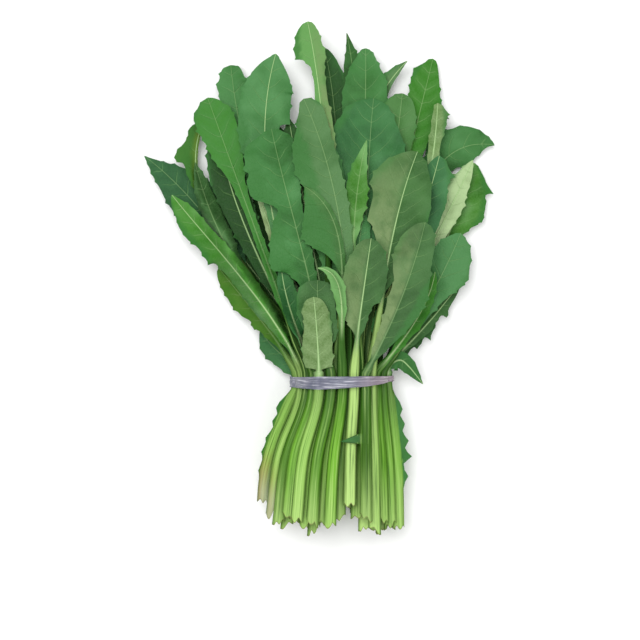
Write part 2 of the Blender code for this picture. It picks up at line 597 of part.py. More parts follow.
def new_material(name, colour, roughness):
    material = bpy.data.materials.new(name)
    material.use_nodes = True
    shader = material.node_tree.nodes["Principled BSDF"]
    shader.inputs["Base Color"].default_value = (*colour, 1.0)
    shader.inputs["Roughness"].default_value = roughness
    shader.inputs["Metallic"].default_value = 0.0
    material.diffuse_color = (*colour, 1.0)
    return material


def add_object(name, vertices, faces, materials):
    mesh = bpy.data.meshes.new(name)
    mesh.from_pydata([tuple(c * MM for c in vertex) for vertex in vertices], [], faces)
    for material in materials:
        mesh.materials.append(material)
    piece = bpy.data.objects.new(name, mesh)
    bpy.context.scene.collection.objects.link(piece)
    return piece


def add_leaf(name, sheet, blade, stalk):
    """Close a laid strip into a solid: upper face, lower face, edges and both ends."""
    plan = sheet.plan.reshape(-1, 2)
    upper = (sheet.height + sheet.top).ravel()
    lower = (sheet.height - sheet.bottom).ravel()
    count = len(plan)
    vertices = [(*p, z) for p, z in zip(plan, upper)] + [(*p, z) for p, z in zip(plan, lower)]
    faces = []
    for a, b, c in sheet.triangles.tolist():
        faces += [(a, b, c), (count + c, count + b, count + a)]
    for r in range(len(sheet.rings) - 1):
        left, right = r * 5, r * 5 + 4
        faces += side_wall(left, left + 5, count)
        faces += side_wall(right + 5, right, count)
    last = 5 * (len(sheet.rings) - 1)
    for c in range(4):
        faces += side_wall(c + 1, c, count)
        faces += side_wall(last + c, last + c + 1, count)
    piece = add_object(name, vertices, faces, (blade, stalk))
    bare = [not ring.blade for ring in sheet.rings]
    for polygon in piece.data.polygons:
        if all(bare[corner % count // 5] for corner in polygon.vertices):
            polygon.material_index = 1
    piece.data.shade_smooth()


def side_wall(a, b, count):
    """Two triangles between the upper edge a-b and the lower edge under it."""
    return [(a, b, count + b), (a, count + b, count + a)]


def stalk_outline():
    """Convex outline, in x and z, of all the stalks where the tie holds them."""
    points = []
    for leaf in LEAVES:
        x0, z0 = slot_place(leaf)
        ring = Ring(np.array((x0, 0.0)), heading(0.0), z0)
        ring.as_stalk(STALK_HALF_WIDTH, STALK_HALF_HEIGHT)
        for offset, up in zip(ring.offsets, ring.top):
            points += [(x0 + offset, z0 + up), (x0 + offset, z0 - up)]
    return np.array([points[corner] for corner in convex_hull_2d(points)])


def tie_loop():
    """Corners of the loop round the stalks, each with the direction it faces."""
    outline = stalk_outline()
    edges = np.roll(outline, -1, axis=0) - outline
    facing = np.degrees(np.arctan2(-edges[:, 0], edges[:, 1]))
    loop = []
    for corner in range(len(outline)):
        before = facing[corner - 1]
        turn = (facing[corner] - before) % 360.0
        steps = max(1, math.ceil(turn / TIE_CORNER_TURN))
        for step in range(steps + 1):
            angle = math.radians(before + turn * step / steps)
            loop.append((outline[corner], np.array((math.cos(angle), math.sin(angle)))))
    return loop


def tie_rows(place):
    """The strip's width and its middle along Y, at a place on the loop."""
    x, z = place
    top = lowest_stalk() + (len(ROW_COUNTS) - 1) * STALK_PITCH_Z
    if z < top / 3:
        return TIE_UNDER_WIDTH, 0.0
    return np.interp(x, TIE_X, TIE_WIDTHS), np.interp(x, TIE_X, TIE_MIDDLES)


def add_tie():
    """A flat closed strip round the stalks, with a flat stretch on the surface."""
    loop = tie_loop()
    vertices = []
    for place, facing in loop:
        width, middle = tie_rows(place)
        for depth in (TIE_GAP, TIE_GAP + TIE_THICKNESS):
            x, z = place + facing * depth
            vertices += [(x, middle - width / 2, z), (x, middle + width / 2, z)]
    faces = []
    for k in range(len(loop)):
        here, there = 4 * k, 4 * ((k + 1) % len(loop))
        for a, b in ((0, 1), (1, 3), (3, 2), (2, 0)):
            faces += [(here + b, here + a, there + a), (here + b, there + a, there + b)]
    material = new_material("tie_strip", TIE_COLOUR, TIE_ROUGHNESS)
    add_object("tie_strip", vertices, faces, (material,))


def clear_scene():
    for item in list(bpy.data.objects):
        bpy.data.objects.remove(item)


def lay_leaves():
    """Lay the leaves over each other from the lowest row to the front."""
    heap = np.full(grid_shape(), -LEAF_GAP)
    for number, leaf in enumerate(LEAVES, start=1):
        row = [other for other in LEAVES if other.row == leaf.row]
        order = row.index(leaf) / len(row)
        sheet = Sheet(leaf_rings(number, leaf, order))
        sheet.lay_on(heap)
        sheet.cover_heap(heap)
        name = f"leaf_{number:02d}"
        blade = new_material(f"{name}_blade", COLOURS[leaf.tone], BLADE_ROUGHNESS)
        stalk = new_material(f"{name}_stalk", STALK_COLOUR, STALK_ROUGHNESS)
        add_leaf(name, sheet, blade, stalk)


clear_scene()
lay_leaves()
add_tie()
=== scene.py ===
import json
import math
import random

import bpy
import numpy as np
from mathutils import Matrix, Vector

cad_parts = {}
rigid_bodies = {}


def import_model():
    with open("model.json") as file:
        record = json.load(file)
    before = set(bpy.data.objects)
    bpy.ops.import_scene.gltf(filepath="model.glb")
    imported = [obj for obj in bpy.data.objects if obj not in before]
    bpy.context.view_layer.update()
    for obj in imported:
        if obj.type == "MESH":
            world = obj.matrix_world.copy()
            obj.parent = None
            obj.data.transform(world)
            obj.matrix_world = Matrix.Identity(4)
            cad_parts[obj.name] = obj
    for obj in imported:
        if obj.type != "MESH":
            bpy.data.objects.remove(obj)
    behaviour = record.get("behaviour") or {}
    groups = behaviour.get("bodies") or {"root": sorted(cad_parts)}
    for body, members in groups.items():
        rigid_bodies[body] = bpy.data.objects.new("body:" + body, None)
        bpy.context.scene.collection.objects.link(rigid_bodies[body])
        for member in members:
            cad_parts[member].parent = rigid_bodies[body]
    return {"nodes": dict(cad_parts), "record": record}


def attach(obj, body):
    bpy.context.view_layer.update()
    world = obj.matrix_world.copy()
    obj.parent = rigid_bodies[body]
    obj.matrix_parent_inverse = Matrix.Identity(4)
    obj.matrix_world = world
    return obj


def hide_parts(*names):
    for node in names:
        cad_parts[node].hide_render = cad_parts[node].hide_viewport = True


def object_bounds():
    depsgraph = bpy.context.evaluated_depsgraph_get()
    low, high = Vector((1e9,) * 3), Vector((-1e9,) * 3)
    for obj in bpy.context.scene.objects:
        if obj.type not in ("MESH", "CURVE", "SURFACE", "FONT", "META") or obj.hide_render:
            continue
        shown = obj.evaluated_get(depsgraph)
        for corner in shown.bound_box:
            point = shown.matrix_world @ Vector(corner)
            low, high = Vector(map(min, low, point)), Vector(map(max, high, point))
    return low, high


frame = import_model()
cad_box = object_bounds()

MM = 0.001
CM = 10.0
TINY = 1e-9
SEED = 5
SEEDS_APART = 1000

# Reading a CAD leaf: rings of five points in plan, each point with an upper and a lower vertex.
# A point with a smaller half height has lost one of the two; a ring with a smaller half height
# than a stalk's least belongs to the blade.
COLUMNS = 5
CENTRE = 2
SAME_PLACE = 0.05
LEAST_POINT_HALF = 0.1
LEAST_STALK_HALF = 1.55
STALK_HALF_WIDTH = 4.9

# Telling the rings of a narrow leaf apart where single points are missing
NARROW = 26.0
SAME_RING = 4.0
SAME_RING_SHARE = 0.5

# Fine strip: steps along a leaf, and points across its rib and across each side of its blade
END_ZONE = 14.0
END_STEP = 1.4
STALK_STEP = 7.0
BLADE_STEP = 2.0
RIB_POINTS = 9
SIDE_POINTS = 6

# Midrib: half widths, and how far it stands out above and below the blade
STALK_RIB_SHARE = 0.75
RIB_TAPER = 8.0
RIB_MIDDLE = 0.65
RIB_TIP = 0.3
RIB_RISE = 0.45
RIB_DROP = 1.1

# Blade: thickness, the shape between the points of its teeth, and how round its tip is
BLADE_HALF_THICKNESS = 0.27
EDGE_HALF_THICKNESS = 0.12
EDGE_POWER = 3
TOOTH_POWER = 1.5
TOOTH_LEAST = 0.7
TOOTH_LEAST_SHARE = 0.06
ROUND_TIP = 0.7
ROUND_TIP_FROM = 0.5

# Small teeth on single rows: their reach and share of the rows, the half width of a blade where
# they are full, how far the row before follows, and the rows left plain after each and at the ends
SMALL_TOOTH = (0.5, 2.1)
SMALL_TOOTH_SHARE = 0.3
SMALL_TOOTH_WIDTH = 8.0
SMALL_TOOTH_FOOT = 0.35
SMALL_TOOTH_APART = 3
PLAIN_FIRST_ROWS = 2
PLAIN_LAST_ROWS = 3

# Leafy fringe beside a stalk: its least width to have teeth, and the width over which it starts
FRINGE_LEAST = 1.5
FRINGE_FADE = 2.5

# Side veins, puffed fields between them, and a rippled margin that calms towards the tip
VEIN_SPACING = 13.5
VEIN_SLANT = 0.9
VEIN_BEND = 1.35
QUILT = 0.5
QUILT_WIDTH = 50.0
QUILT_FOOT = 7.0
QUILT_EDGE_POWER = 4
RIPPLE = 0.9
RIPPLE_LENGTH = 21.0
RIPPLE_WIDTH = 14.0
RIPPLE_DRIFT = 1.5
RIPPLE_DRIFT_LENGTH = 33.0
TIP_CALM = 8.0

# Stalk: a round section with a channel on top, fine ridges and a torn end
ROUND_INNER_POWER = 2.4
ROUND_OUTER_POWER = 0.55
GROOVE = 0.2
GROOVE_SIDES = (-1.0, 1.0, 1.0)
GROOVE_WIDTH = 0.42
RIDGE = 0.14
RIDGES = 4
TEAR_DEPTH = (3.0, 9.0)
TEAR_TEETH = (0.35, 1.1)
TEAR_SHARPNESS = (0.6, 2.2)
TEAR_SLANT = 0.6
TEAR_POINTS = 0.8
TEAR_LEAST = 0.2
TEAR_MOST = 1.2
TEAR_THINNING = 0.45

# Laying the fine leaves over each other
CELL = 1.0
CLEARANCE = 0.15
FINER = 3
SPREAD_ROUNDS = 10

# Meshes: a sharp edge's angle in degrees, and how far apart the leaves are in the materials
SHARP_ANGLE = 55.0
NEXT_LEAF = 70.0

# Linear colours of each kind of leaf: deep, middle and light; the near-black dark kind is painted
# shade
TONES = {
    "leaf_green": ((0.013, 0.080, 0.012), (0.032, 0.140, 0.032), (0.065, 0.205, 0.065)),
    "leaf_grey": ((0.024, 0.078, 0.018), (0.044, 0.125, 0.033), (0.078, 0.18, 0.062)),
    "leaf_bright": ((0.016, 0.090, 0.006), (0.045, 0.165, 0.018), (0.14, 0.31, 0.10)),
    "leaf_pale": ((0.10, 0.165, 0.05), (0.14, 0.22, 0.072), (0.38, 0.52, 0.26)),
    # Painted shade: near-black greens for leaves lying deep in the bunch under others, darkened for
    # the shade they lie in
    "leaf_dark": ((0.002, 0.014, 0.002), (0.006, 0.034, 0.006), (0.016, 0.07, 0.015)),
    "leaf_blue": ((0.013, 0.075, 0.022), (0.030, 0.128, 0.038), (0.055, 0.185, 0.066)),
    "leaf_olive": ((0.020, 0.060, 0.004), (0.045, 0.11, 0.009), (0.09, 0.17, 0.025)),
}
WARM_COLOUR = (0.045, 0.205, 0.022)
RIB_COLOUR = (0.22, 0.39, 0.14)
CREST_COLOUR = (0.40, 0.56, 0.27)
UNDER_COLOUR = (0.12, 0.20, 0.08)
FRINGE_COLOUR = (0.035, 0.15, 0.03)
PALE_SIDE_COLOUR = (0.17, 0.25, 0.10)
STALK_DEEP = (0.016, 0.062, 0.006)
STALK_HIGH = (0.042, 0.118, 0.020)
STALK_LOW = (0.150, 0.37, 0.034)
STALK_END = (0.42, 0.62, 0.19)
CUT_COLOUR = (0.20, 0.19, 0.06)
CROWN_COLOUR = (0.50, 0.58, 0.42)
RUST_COLOUR = (0.30, 0.20, 0.06)

# Noises, each with its scale, detail and roughness
BROAD_NOISE = (0.32, 2.0)
FINE_NOISE = (6.0, 4.0, 0.6)
PATCH_NOISE = (0.9, 3.0)
WANDER_NOISE = (0.5,)
STREAK_NOISE = (1.0, 3.0, 0.65)
WIDE_NOISE = (1.0, 2.0)

# Stretches across and along a stalk, which turn a noise into streaks
STREAK_STRETCH = (8.0, 0.12, 1.0)
WIDE_STRETCH = (1.3, 0.06, 1.0)

# Net, wander of the side veins, and how far a leaf's own level moves its tone
NET_SCALE = 3.2
VEIN_WANDER = 1.1
LEVEL_MIDDLE = 0.5
LEVEL_SHARE = 0.4

# Fades over a blade: where each starts and ends, and its shares there
DEEP_TO_MIDDLE = (0.32, 0.5, 0.0, 1.0)
MIDDLE_TO_LIGHT = (0.48, 0.68, 0.0, 1.0)
SPECKS = (0.35, 0.7, 0.0, 0.2)
NET_LINES = (0.0, 0.12, 0.07, 0.0)
VEIN_LINES = (0.0, 0.07, 0.42, 0.0)
VEIN_REACH = (0.25, 0.9, 1.0, 0.0)
BESIDE_VEIN = (0.12, 0.5, 0.12, 0.0)
PALE_PATCHES = (0.3, 0.6, 0.45, 0.9)
RIB_CLEARNESS = (0.0, 1.0, 1.0, 0.25)
RIB_SIDES = (0.6, 1.2, 0.7, 0.0)
RIB_CREST = (0.1, 0.6, 0.9, 0.0)
UNDER_SHARE = 0.6
FRINGE_SHARE = 0.75

# Fades over a stalk, the first six along it in centimetres from its cut end
HIGH_STALK = (5.5, 13.0, 0.0, 1.0)
LOW_STALK = (2.5, 9.0, 0.6, 0.0)
LOW_STALK_WANDER = 7.0
CROWN_WHITE = (0.5, 3.5, 0.75, 0.0)
CROWN_RUST = (2.0, 5.0, 0.7, 0.0)
CUT_RIM = (0.02, 0.14, 0.8, 0.0)
DEEP_STALKS = (0.5, 0.1, 0.0, 0.75)
LIGHT_STALKS = (0.6, 0.95, 0.0, 0.85)
LIGHT_STREAKS = (0.5, 0.75, 0.0, 0.7)
DEEP_STREAKS = (0.5, 0.28, 0.0, 0.85)
RUST_PATCHES = (0.4, 0.6, 0.2, 0.9)
# Painted shade: each stalk's sides darkened towards its edges, for the gaps between neighbouring
# stalks
STALK_EDGE_SHADE = (0.55, 1.0, 0.0, 0.6)
STALK_BELOW_BLADE = (-0.1, 1.6, 0.0, 1.0)
STALK_INSIDE_FRINGE = (0.0, 0.6, 1.0, 0.0)

# Surface of a leaf: shine, roughness, and the heights and depth of its fine relief
USUAL_SHINE = 0.2
SHINE = {"leaf_bright": 0.04, "leaf_olive": 0.04}
MATT_EDGES = (0.3, 0.8, 0.0, 1.0)
LEAF_ROUGHNESS = (0.2, 0.8, 0.5, 0.68)
NET_HEIGHT = -3.0
VEIN_HEIGHT = -2.0
FINE_HEIGHT = 0.8
LEAF_BUMP = (0.6, 0.0008)

# Stalks at the bunch's lower left, whitish and rusty where they joined the crown
CROWN_LEAVES = ("leaf_12", "leaf_20", "leaf_33")

# Leaves whose midrib hardly shows
DULL_RIBS = ("leaf_04", "leaf_05", "leaf_12", "leaf_15", "leaf_17", "leaf_20", "leaf_21",
             "leaf_22", "leaf_23", "leaf_24", "leaf_25", "leaf_26", "leaf_34", "leaf_36",
             "leaf_37", "leaf_39", "leaf_41", "leaf_45", "leaf_47", "leaf_48", "leaf_49",
             "leaf_50", "leaf_53")

# Leaves that are pale on one side of the midrib: -1 is left, 1 is right
PALE_SIDES = {"leaf_40": 1.0, "leaf_46": -1.0, "leaf_51": -1.0, "leaf_53": -1.0}
PALE_FROM_RIB = 1.5
PALE_LENGTH = 70.0
PALE_AT_TIP = 0.2

# How light a blade is, from about -1, dark, to 1.6, light, where it isn't left to chance
LEVELS = {"leaf_12": 0.0, "leaf_17": -0.9, "leaf_18": 1.0, "leaf_23": 1.0, "leaf_33": 0.4,
          "leaf_34": 1.0, "leaf_36": 0.3, "leaf_37": -1.0, "leaf_40": 1.6, "leaf_46": 0.1,
          "leaf_47": 0.3, "leaf_49": 0.1, "leaf_51": 0.2, "leaf_53": 0.1, "leaf_54": -0.3}
CHANCE_LEVEL = (0.2, 0.8)

# How much a blade leans to a warmer, fresher green, and the most that chance gives
WARMTH = {"leaf_17": 0.6, "leaf_20": 0.5, "leaf_33": 0.5, "leaf_37": 0.8, "leaf_42": 0.8}
CHANCE_WARMTH = 0.3

# Turn from one stalk's tone to the next, so that neighbours differ
STALK_TURN = 0.618

# Tie: a thin strip with wrinkles, each with its height, turns across, length and start
TIE_ROWS = 220
TIE_COLUMNS = 11
TIE_THICKNESS = 0.25
TIE_LIFT = 0.35
TIE_ABOVE_FLOOR = 0.05
TIE_WRINKLES = ((0.16, 11.0, 19.0, 0.0), (0.10, 23.0, 7.0, 1.0))
SAME_ANGLE = 0.004

# Tie's looks: greyish violet with whitish streaks that are painted highlights, a little clear, and
# pinker to the right, where the way to the pinker side is in metres
TIE_DEEP = (0.125, 0.135, 0.19)
TIE_LIGHT = (0.20, 0.20, 0.26)
TIE_PINK = (0.36, 0.25, 0.29)
TIE_PAINTED_HIGHLIGHT = (0.6, 0.6, 0.66)
TIE_STRETCH = (0.5, 9.0, 1.0)
TIE_FINE_NOISE = (1.0, 3.0, 0.6)
TIE_BROAD_NOISE = (0.7, 2.0)
TIE_TONES = (0.35, 0.65, 0.0, 1.0)
TIE_HIGHLIGHT_STREAKS = (0.52, 0.72, 0.0, 0.9)
TIE_PINK_SIDE = (0.0, 0.04, 0.0, 0.6)
TIE_ALPHA = (0.3, 0.7, 0.78, 0.95)
TIE_ROUGHNESS = 0.28
TIE_BUMP = (0.5, 0.0006)

# Floor and light, in metres and watts: each lamp's place, size and power
FLOOR_SIDE = 6.0
FLOOR_GAP = 0.0003
FLOOR_COLOUR = (0.93, 0.93, 0.93, 1.0)
FLOOR_ROUGHNESS = 0.8
WORLD_COLOUR = (1.0, 1.0, 1.0, 1.0)
WORLD_STRENGTH = 0.55
LAMPS = {"key": ((-0.3, 0.4, 1.6), 1.0, 22.0), "fill": ((0.9, -0.5, 1.3), 1.2, 7.0)}

# Camera: straight above the point that is in the middle of the photo
CAMERA_LENS = 85.0
CAMERA_SENSOR = 36.0
CAMERA_PLACE = (-0.0172, 0.0484, 1.215)


def smooth_step(value):
    value = np.clip(value, 0.0, 1.0)
    return value * value * (3.0 - 2.0 * value)


def cubic(t, gap, ends, slopes):
    """Values at shares t of gaps, on cubic curves with these values and slopes at both ends."""
    return (ends[0] * (2 * t**3 - 3 * t**2 + 1)
            + slopes[0] * gap * (t**3 - 2 * t**2 + t)
            + ends[1] * (3 * t**2 - 2 * t**3)
            + slopes[1] * gap * (t**3 - t**2))


def hermite(knots, values, slopes, places):
    """Values between knots on cubic curves with the given slopes at the knots."""
    index = np.clip(np.searchsorted(knots, places, side="right") - 1, 0, len(knots) - 2)
    gap = (knots[index + 1] - knots[index])[:, None]
    t = (places - knots[index])[:, None] / gap
    return cubic(t, gap, (values[index], values[index + 1]), (slopes[index], slopes[index + 1]))


def flowing(knots, values, places):
    """Smooth curve through points."""
    return hermite(knots, values, np.gradient(values, knots, axis=0), places)


def steady(knots, values, places):
    """Smooth curve through values that never swings past them."""
    rises = np.diff(values, axis=0) / np.diff(knots)[:, None]
    before, after = rises[:-1], rises[1:]
    same = before * after > 0.0
    slopes = np.zeros_like(values)
    slopes[1:-1] = np.where(same, 2 * before * after / np.where(same, before + after, 1.0), 0.0)
    slopes[0], slopes[-1] = rises[0], rises[-1]
    return hermite(knots, values, slopes, places)


def across_rows(values, signed):
    """Heights of the five CAD columns carried to every column of each row."""
    knots = np.linspace(-1.0, 1.0, COLUMNS)
    gap = knots[1] - knots[0]
    rises = np.diff(values, axis=1) / gap
    before, after = rises[:, :-1], rises[:, 1:]
    slopes = np.zeros_like(values)
    slopes[:, 1:-1] = (before + after) / 2
    slopes[:, 0], slopes[:, -1] = rises[:, 0], rises[:, -1]
    index = np.clip(((signed + 1.0) / gap).astype(int), 0, COLUMNS - 2)
    t = (signed - knots[index]) / gap
    row = np.arange(len(values))[:, None]
    return cubic(t, gap, (values[row, index], values[row, index + 1]),
                 (slopes[row, index], slopes[row, index + 1]))


def plan_points(node):
    """A CAD leaf's points in plan with their lower and upper heights, and each one's partners."""
    mesh = node.data
    corners = np.array([vertex.co for vertex in mesh.vertices]) / MM
    apart = np.abs(corners[:, None, :2] - corners[None, :, :2]).max(axis=2)
    number = np.unique((apart < SAME_PLACE).argmax(axis=1), return_inverse=True)[1].ravel()
    count = number.max() + 1
    plan = np.zeros((count, 2))
    plan[number] = corners[:, :2]
    lower, upper = np.full(count, np.inf), np.full(count, -np.inf)
    np.minimum.at(lower, number, corners[:, 2])
    np.maximum.at(upper, number, corners[:, 2])
    partners = [set() for _ in range(count)]
    for edge in mesh.edges:
        a, b = (int(number[corner]) for corner in edge.vertices)
        if a != b:
            partners[a].add(b)
            partners[b].add(a)
    return plan, lower, upper, partners


def ring_numbers(plan, partners):
    """The points of each ring, from the cut end to the tip and from left to right.

    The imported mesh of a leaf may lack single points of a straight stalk.
    """
    points_lost = len(plan) % COLUMNS > 0
    front = np.argsort(plan[:, 1])[:COLUMNS].tolist()
    rings, behind, placed = [front], [], set(front)
    while True:
        ahead = {other for point in front + behind for other in partners[point]} - placed
        if not ahead:
            break
        last = plan[front]
        near = sorted(ahead, key=lambda p: (np.linalg.norm(last - plan[p], axis=1).min(), p))
        ring = near[:COLUMNS]
        if points_lost and np.ptp(last, axis=0).max() < NARROW:
            ring = same_ring(plan, last, ring)
        behind, front = front, ring
        placed.update(ring)
        if len(ring) >= COLUMNS - 1:
            rings.append(ring)
    centres = np.array([plan[ring].mean(axis=0) for ring in rings])
    for ring, (x, y) in zip(rings, np.gradient(centres, axis=0)):
        ring.sort(key=lambda point: plan[point, 0] * y - plan[point, 1] * x)
    return rings


def same_ring(plan, last, near):
    """Those of the nearest points that lie in the next ring of a stalk or a narrow blade."""
    centre = last.mean(axis=0)
    across = np.linalg.svd(last - centre)[2][0]
    steps = np.abs((plan[near] - centre) @ (-across[1], across[0]))
    reach = steps.min() + max(SAME_RING, SAME_RING_SHARE * steps.min())
    return [point for point, step in zip(near, steps) if step <= reach]


def with_lost_point(values, last):
    """A ring's five points when it has only four: the lost one is put back after the last ring."""
    misses, moves = [], []
    for lost in range(COLUMNS):
        steps = values - np.delete(last, lost, axis=0)
        moves.append(np.median(steps, axis=0))
        misses.append(np.sort(np.abs(steps - moves[-1])[:, 0])[:-1].sum())
    lost = int(np.argmin(misses))
    return np.insert(values, lost, last[lost] + moves[lost], axis=0)


class CadLeaf:
    """The rings of a CAD leaf: plan points, middle heights and half heights of five columns."""

    def __init__(self, node):
        plan, lower, upper, partners = plan_points(node)
        rings, full = [], None
        for ring in ring_numbers(plan, partners):
            values = np.column_stack((plan[ring], lower[ring], upper[ring]))
            full = values if len(ring) == COLUMNS else with_lost_point(values, full)
            rings.append(full)
        rings = np.array(rings)
        low, high = rings[..., 2], rings[..., 3]
        self.plan = rings[..., :2]
        self.middle, self.half = (low + high) / 2, (high - low) / 2
        self.mend()
        steps = np.linalg.norm(np.diff(self.plan[:, CENTRE], axis=0), axis=1)
        self.run = np.concatenate(((0.0,), np.cumsum(steps)))
        self.first_blade = int(np.argmax(self.half[:, CENTRE] < LEAST_STALK_HALF))

    def mend(self):
        """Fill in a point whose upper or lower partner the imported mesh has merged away."""
        lost = self.half < LEAST_POINT_HALF
        for ring, column in zip(*np.nonzero(lost[1:-1])):
            ring += 1
            for values in (self.middle, self.half):
                values[ring, column] = (values[ring - 1, column] + values[ring + 1, column]) / 2


def station_places(leaf):
    """Places along a leaf where the fine strip has a row, each CAD ring among them."""
    blade_start = leaf.run[leaf.first_blade - 1]
    knots = np.unique(np.concatenate((leaf.run, (END_ZONE,))))
    places = []
    for start, end in zip(knots, knots[1:]):
        step = BLADE_STEP if start >= blade_start else STALK_STEP
        if end <= END_ZONE:
            step = END_STEP
        count = math.ceil((end - start) / step)
        places.extend(start + (end - start) * np.arange(count) / count)
    return np.array(places + [knots[-1]])


def edge_widths(leaf, widths, sweeps, places):
    """One edge's distance from the midrib and its sweep: smooth, but pointed at teeth."""
    values = np.column_stack((widths, sweeps))
    smooth = steady(leaf.run, values, places)
    last = len(widths) - 2
    bulge = np.zeros(len(widths))
    bulge[1:-1] = widths[1:-1] - (widths[:-2] + widths[2:]) / 2
    tooth = bulge > TOOTH_LEAST + TOOTH_LEAST_SHARE * widths
    index = np.clip(np.searchsorted(leaf.run, places, side="right") - 1, 0, last)
    t = (places - leaf.run[index]) / (leaf.run[index + 1] - leaf.run[index])
    share = np.where(tooth[index], 1.0 - (1.0 - t)**TOOTH_POWER, t)
    share = np.where(tooth[index + 1], t**TOOTH_POWER, share)
    tip = index == last
    blunt = widths[-2] / (leaf.run[-1] - leaf.run[-2])
    roundness = ROUND_TIP * np.clip(blunt - ROUND_TIP_FROM, 0.0, 1.0)
    rounded = 1.0 - np.sqrt(np.clip(1.0 - t * t, 0.0, 1.0))
    share = np.where(tip, t + (rounded - t) * roundness, share)
    straight = values[index] + (values[index + 1] - values[index]) * share[:, None]
    plain = tooth[index] | tooth[index + 1] | tip
    return np.where(plain[:, None], straight, smooth).T


class FineLeaf:
    """A leaf as rows and columns of points, each with a middle height and half thicknesses."""

    def __init__(self, name, cad, rng):
        self.name = name
        self.cad = cad
        self.rng = rng
        self.places = station_places(cad)
        self.lay_out_plan()
        self.shape_section()
        self.raise_relief()
        self.tear_end()

    def lay_out_plan(self):
        """Every point in plan, with its distances from the midrib and from the edge."""
        cad, places = self.cad, self.places
        centre = flowing(cad.run, cad.plan[:, CENTRE], places)
        ahead = np.gradient(centre, places, axis=0)
        ahead /= np.linalg.norm(ahead, axis=1)[:, None]
        side = np.column_stack((ahead[:, 1], -ahead[:, 0]))
        at_ring = np.searchsorted(places, cad.run - TINY)
        from_centre = cad.plan - cad.plan[:, CENTRE:CENTRE + 1]
        offsets = np.einsum("rcx,rx->rc", from_centre, side[at_ring])
        sweeps = np.einsum("rcx,rx->rc", from_centre, ahead[at_ring])
        offsets[-1] *= RIB_TIP
        left, left_sweep = edge_widths(cad, -offsets[:, 0], sweeps[:, 0], places)
        right, right_sweep = edge_widths(cad, offsets[:, -1], sweeps[:, -1], places)
        left, right = self.small_teeth(left), self.small_teeth(right)
        rib = self.rib_widths(np.minimum(left, right))
        self.across = self.columns(rib, left, right)
        on_left = self.across < 0.0
        self.width = np.where(on_left, left[:, None], right[:, None])
        self.edge = np.abs(self.across) / self.width
        sweep = np.where(on_left, left_sweep[:, None], right_sweep[:, None]) * self.edge**2
        self.plan = (centre[:, None] + side[:, None] * self.across[..., None]
                     + ahead[:, None] * sweep[..., None])
        self.rib = rib[:, None]
        self.ahead = ahead

    def small_teeth(self, widths):
        """Small spikes on single rows of the blade's margin."""
        blade = self.places > self.cad.run[self.cad.first_blade]
        blade |= widths > STALK_HALF_WIDTH + FRINGE_LEAST
        widths = widths.copy()
        row = PLAIN_FIRST_ROWS
        while row < len(widths) - PLAIN_LAST_ROWS:
            if blade[row] and self.rng.random() < SMALL_TOOTH_SHARE:
                room = min(widths[row] / SMALL_TOOTH_WIDTH, 1.0)
                reach = self.rng.uniform(*SMALL_TOOTH) * room
                widths[row] += reach
                widths[row - 1] += SMALL_TOOTH_FOOT * reach
                row += SMALL_TOOTH_APART
            row += 1
        return widths

    def rib_widths(self, room):
        """Half width of the stalk's middle part and of the midrib."""
        cad = self.cad
        start = cad.run[cad.first_blade - 1]
        u = np.clip((self.places - start) / (cad.run[-1] - start), 0.0, 1.0)
        half_widths = np.abs(cad.plan[:, -1] - cad.plan[:, CENTRE]).max(axis=1)[:, None]
        stalk = steady(cad.run, half_widths, np.minimum(self.places, start))[:, 0]
        first = STALK_RIB_SHARE * np.minimum(stalk, room)
        rib = ((first - RIB_MIDDLE - RIB_TIP) * (1.0 - u)**RIB_TAPER
               + RIB_MIDDLE * (1.0 - u) + RIB_TIP)
        self.into_blade = u
        return np.minimum(rib, STALK_RIB_SHARE * room)

    def columns(self, rib, left, right):
        """Signed distances from the midrib of all columns."""
        middle = np.linspace(-1.0, 1.0, RIB_POINTS) * rib[:, None]
        out = np.linspace(0.0, 1.0, SIDE_POINTS + 1)[1:]
        to_left = -(rib[:, None] + (left - rib)[:, None] * out[::-1])
        to_right = rib[:, None] + (right - rib)[:, None] * out
        return np.concatenate((to_left, middle, to_right), axis=1)

    def shape_section(self):
        """Middle height and half thicknesses across each row."""
        cad = self.cad
        signed = np.sign(self.across) * self.edge
        self.middle = across_rows(steady(cad.run, cad.middle, self.places), signed)
        half = steady(cad.run, cad.half, self.places)[:, CENTRE:CENTRE + 1]
        end, start = cad.run[cad.first_blade - 1], cad.run[cad.first_blade]
        self.stalk = 1.0 - smooth_step((self.places - end) / (start - end))[:, None]
        core = self.width.min(axis=1)[:, None]
        self.fringe = np.clip((np.abs(self.across) - core) / FRINGE_FADE, 0.0, 1.0)
        blade_up, blade_down = self.blade_halves(half)
        stalk_up, stalk_down = self.stalk_halves(half, core)
        self.up = blade_up + (stalk_up - blade_up) * self.stalk
        self.down = blade_down + (stalk_down - blade_down) * self.stalk

    def blade_halves(self, half):
        """Half thicknesses above and below the middle of a blade with its midrib."""
        from_rib = np.clip(np.abs(self.across) / self.rib, 0.0, 1.0)
        thinning = EDGE_HALF_THICKNESS - BLADE_HALF_THICKNESS
        thin = BLADE_HALF_THICKNESS + thinning * self.edge**EDGE_POWER
        bump = np.clip(half - BLADE_HALF_THICKNESS, 0.0, None) * (1.0 - from_rib**2)
        return thin + RIB_RISE * bump, thin + RIB_DROP * bump

    def stalk_halves(self, half, core):
        """Half thicknesses of a round, ridged stalk with a channel on top."""
        groove = self.rng.choice(GROOVE_SIDES) * GROOVE
        off = np.clip(np.abs(self.across) / core, 0.0, 1.0)
        round_stalk = half * np.clip(1.0 - off**ROUND_INNER_POWER, 0.0, 1.0)**ROUND_OUTER_POWER
        ridges = RIDGE * np.cos(off * RIDGES * math.pi) * self.stalk * (1.0 - off)
        dip = groove * half * np.exp(-(off / GROOVE_WIDTH)**2)
        return (np.maximum(round_stalk - dip + ridges, EDGE_HALF_THICKNESS),
                np.maximum(round_stalk - RIDGE + ridges, EDGE_HALF_THICKNESS))

